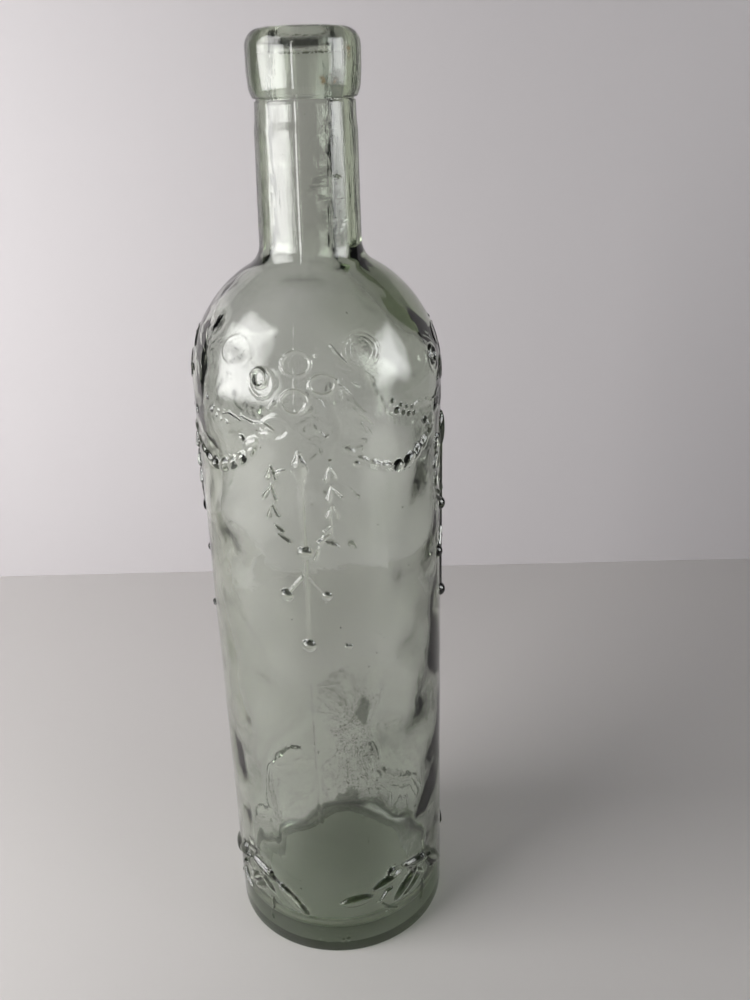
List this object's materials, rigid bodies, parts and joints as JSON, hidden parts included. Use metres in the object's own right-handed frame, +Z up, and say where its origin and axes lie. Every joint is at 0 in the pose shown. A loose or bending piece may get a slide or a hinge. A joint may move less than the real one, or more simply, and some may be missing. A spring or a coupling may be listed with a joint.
{
  "type": "swing top bottle",
  "caption": "Tall clear glass bottle with a domed shoulder, stout collared neck, moulded festoon relief and thick foot.",
  "frame": {"origin": "centre of the base, on the plane the bottle rests on", "axes": "+Z up along the axis of the bottle; -Y towards the mould seam and the middle of the front relief panel; +X to the right of that panel"},
  "size_m": [0.0782, 0.0782, 0.294],
  "materials": {
    "glass": "clear pale grey-green moulded glass, glossy, slightly wavy"
  },
  "bodies": {
    "root": {"bottle": "glass"}
  },
  "joints": []
}
